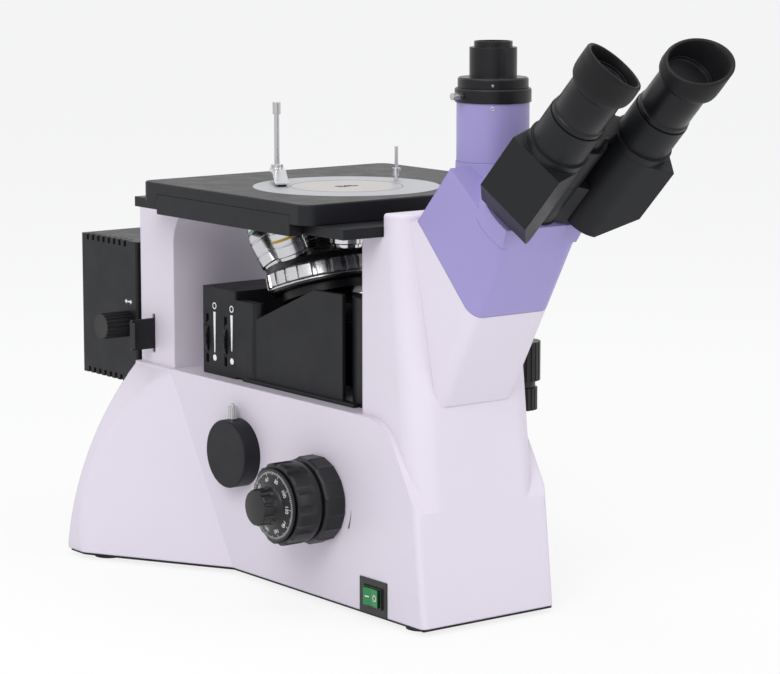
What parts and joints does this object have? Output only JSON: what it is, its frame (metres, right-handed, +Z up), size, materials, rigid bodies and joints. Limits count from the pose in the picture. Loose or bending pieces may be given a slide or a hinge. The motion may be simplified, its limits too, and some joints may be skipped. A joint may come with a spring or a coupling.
{
  "type": "inverted microscope",
  "caption": "Inverted reflected-light microscope with a trinocular head, tilted revolving nosepiece under a sliding stage, and a rear lamp house.",
  "frame": {"origin": "centre of the footprint on the table, under the rubber feet", "axes": "+X to the operator's right, +Y from the operator to the lamp house, +Z up"},
  "size_m": [0.2405, 0.6107, 0.3973],
  "materials": {
    "lilac_paint": "fine texture",
    "purple_paint": "satin",
    "black_paint": "satin",
    "black_metal": "satin",
    "black_plastic": "satin",
    "black_rubber": "matte",
    "green_plastic": "gloss",
    "circuit_board": "matte",
    "grey_metal": "satin",
    "steel": "satin",
    "chrome": "polished",
    "mirror": "polished",
    "lens_glass": "polished"
  },
  "bodies": {
    "stand": {"stand_casting": "lilac_paint", "base_plate": "black_paint", "rubber_feet": "black_rubber", "power_board": "circuit_board", "switch_panel": "black_plastic", "mains_inlet": "black_plastic", "lamp_house": "black_metal", "lamp_bulb": "lens_glass", "collector_lens": "lens_glass", "illuminator_box": "black_metal", "nosepiece_cover": "black_metal", "focus_guide": "steel", "fold_mirror": "mirror", "side_port_cap": "black_metal", "stage_fixed_plate": "grey_metal", "head_base": "purple_paint", "photo_tube": "purple_paint", "tube_collar": "black_metal", "camera_adapter": "black_metal", "binocular_pivot": "black_metal"},
    "rocker": {"switch_rocker": "green_plastic"},
    "lamp_knob": {"lamp_knob": "black_plastic"},
    "filter_slider": {"filter_slider": "black_metal"},
    "aperture_wheel": {"aperture_wheel": "black_metal"},
    "field_wheel": {"field_wheel": "black_metal"},
    "cap_screw": {"cap_screw": "black_metal"},
    "collar_screw": {"collar_screw": "steel"},
    "tension_ring": {"tension_ring": "black_plastic"},
    "coarse_drive": {"coarse_shaft": "steel", "coarse_knobs": "black_plastic"},
    "fine_drive": {"fine_shaft": "steel", "fine_knobs": "black_plastic"},
    "nosepiece": {"nosepiece_carriage": "black_metal", "turret_base": "black_metal"},
    "turret": {"turret_ring": "chrome", "objective_1": "chrome", "objective_2": "chrome", "objective_3": "chrome", "objective_4": "chrome", "objective_5": "chrome", "objective_lenses": "lens_glass"},
    "stage_y": {"stage_middle_plate": "black_metal", "drive_hanger": "black_metal"},
    "stage_x": {"stage_top_plate": "black_metal", "insert_ring": "grey_metal", "insert_disc": "grey_metal", "clip_rod": "steel", "stage_pin": "steel"},
    "y_knob": {"stage_y_knob": "black_plastic"},
    "x_knob": {"stage_x_knob": "black_plastic"},
    "clip": {"clip_arm": "steel", "clip_tip": "black_rubber"},
    "arm_right": {"prism_housing_right": "black_metal"},
    "arm_left": {"prism_housing_left": "black_metal"},
    "eyepiece_right": {"eyepiece_right": "black_metal", "eyecup_right": "black_rubber", "eye_lens_right": "lens_glass"},
    "eyepiece_left": {"eyepiece_left": "black_metal", "eyecup_left": "black_rubber", "eye_lens_left": "lens_glass"}
  },
  "joints": [
    {"name": "switch_rock", "type": "hinge", "parent": "stand", "child": "rocker", "pos_m": [-0.0536, -0.0772, 0.017], "axis": [0, 0, 1], "range_deg": [-8, 8]},
    {"name": "lamp_adjust", "type": "hinge", "parent": "stand", "child": "lamp_knob", "pos_m": [-0.06, 0.239, 0.165], "axis": [1, 0, 0], "range_deg": [-180, 180]},
    {"name": "filter_slide", "type": "slide", "parent": "stand", "child": "filter_slider", "axis": [1, 0, 0], "range_m": [-0.025, 0.012]},
    {"name": "aperture_turn", "type": "hinge", "parent": "stand", "child": "aperture_wheel", "pos_m": [-0.0235, 0.1405, 0.166], "axis": [0, 1, 0], "range_deg": [-60, 60]},
    {"name": "field_turn", "type": "hinge", "parent": "stand", "child": "field_wheel", "pos_m": [-0.0235, 0.117, 0.166], "axis": [0, 1, 0], "range_deg": [-60, 60]},
    {"name": "cap_screw_turn", "type": "hinge", "parent": "stand", "child": "cap_screw", "pos_m": [-0.06375, 0.081, 0.117], "axis": [0, 0, 1], "continuous": true},
    {"name": "collar_screw_turn", "type": "hinge", "parent": "stand", "child": "collar_screw", "pos_m": [-0.027, -0.132, 0.3575], "axis": [1, 0, 0], "continuous": true},
    {"name": "tension_turn", "type": "hinge", "parent": "stand", "child": "tension_ring", "pos_m": [0, -0.016, 0.075], "axis": [1, 0, 0], "range_deg": [-30, 30]},
    {"name": "nosepiece_lift", "type": "slide", "parent": "stand", "child": "nosepiece", "axis": [0, 0, 1], "range_m": [-0.005, 0.0025]},
    {"name": "coarse_turn", "type": "hinge", "parent": "stand", "child": "coarse_drive", "pos_m": [0, -0.016, 0.075], "axis": [1, 0, 0], "range_deg": [-48, 24]},
    {"name": "fine_turn", "type": "hinge", "parent": "stand", "child": "fine_drive", "pos_m": [0, -0.016, 0.075], "axis": [1, 0, 0], "continuous": true},
    {"name": "turret_turn", "type": "hinge", "parent": "nosepiece", "child": "turret", "pos_m": [0, 0.056, 0.216], "axis": [0, 0.309, 0.9511], "continuous": true},
    {"name": "stage_y_slide", "type": "slide", "parent": "stand", "child": "stage_y", "axis": [0, 1, 0], "range_m": [-0.015, 0.015]},
    {"name": "stage_x_slide", "type": "slide", "parent": "stage_y", "child": "stage_x", "axis": [1, 0, 0], "range_m": [-0.015, 0.015]},
    {"name": "y_knob_turn", "type": "hinge", "parent": "stage_y", "child": "y_knob", "pos_m": [0.108, -0.032, 0.171], "axis": [0, 0, 1], "range_deg": [-195, 195]},
    {"name": "x_knob_turn", "type": "hinge", "parent": "stage_y", "child": "x_knob", "pos_m": [0.108, -0.032, 0.171], "axis": [0, 0, 1], "range_deg": [-195, 195]},
    {"name": "clip_swing", "type": "hinge", "parent": "stage_x", "child": "clip", "pos_m": [-0.017, 0.091, 0.285], "axis": [0, 0, 1], "range_deg": [-60, 60]},
    {"name": "arm_right_swing", "type": "hinge", "parent": "stand", "child": "arm_right", "pos_m": [0, -0.1694, 0.2821], "axis": [0, -0.7071, 0.7071], "range_deg": [-28.2, 20]},
    {"name": "arm_left_swing", "type": "hinge", "parent": "stand", "child": "arm_left", "pos_m": [0, -0.1694, 0.2821], "axis": [0, -0.7071, 0.7071], "range_deg": [-20, 28.2]},
    {"name": "dioptre_right", "type": "hinge", "parent": "arm_right", "child": "eyepiece_right", "pos_m": [0.03524, -0.17847, 0.27303], "axis": [0, -0.7071, 0.7071], "range_deg": [-60, 60]},
    {"name": "dioptre_left", "type": "hinge", "parent": "arm_left", "child": "eyepiece_left", "pos_m": [-0.03524, -0.17847, 0.27303], "axis": [0, -0.7071, 0.7071], "range_deg": [-60, 60]}
  ],
  "couplings": [
    {"joint": "coarse_turn", "follows": "nosepiece_lift", "rad_per_m": 166.67},
    {"joint": "y_knob_turn", "follows": "stage_y_slide", "rad_per_m": 224.4},
    {"joint": "x_knob_turn", "follows": "stage_x_slide", "rad_per_m": 224.4},
    {"joint": "arm_left_swing", "follows": "arm_right_swing", "ratio": -1}
  ]
}
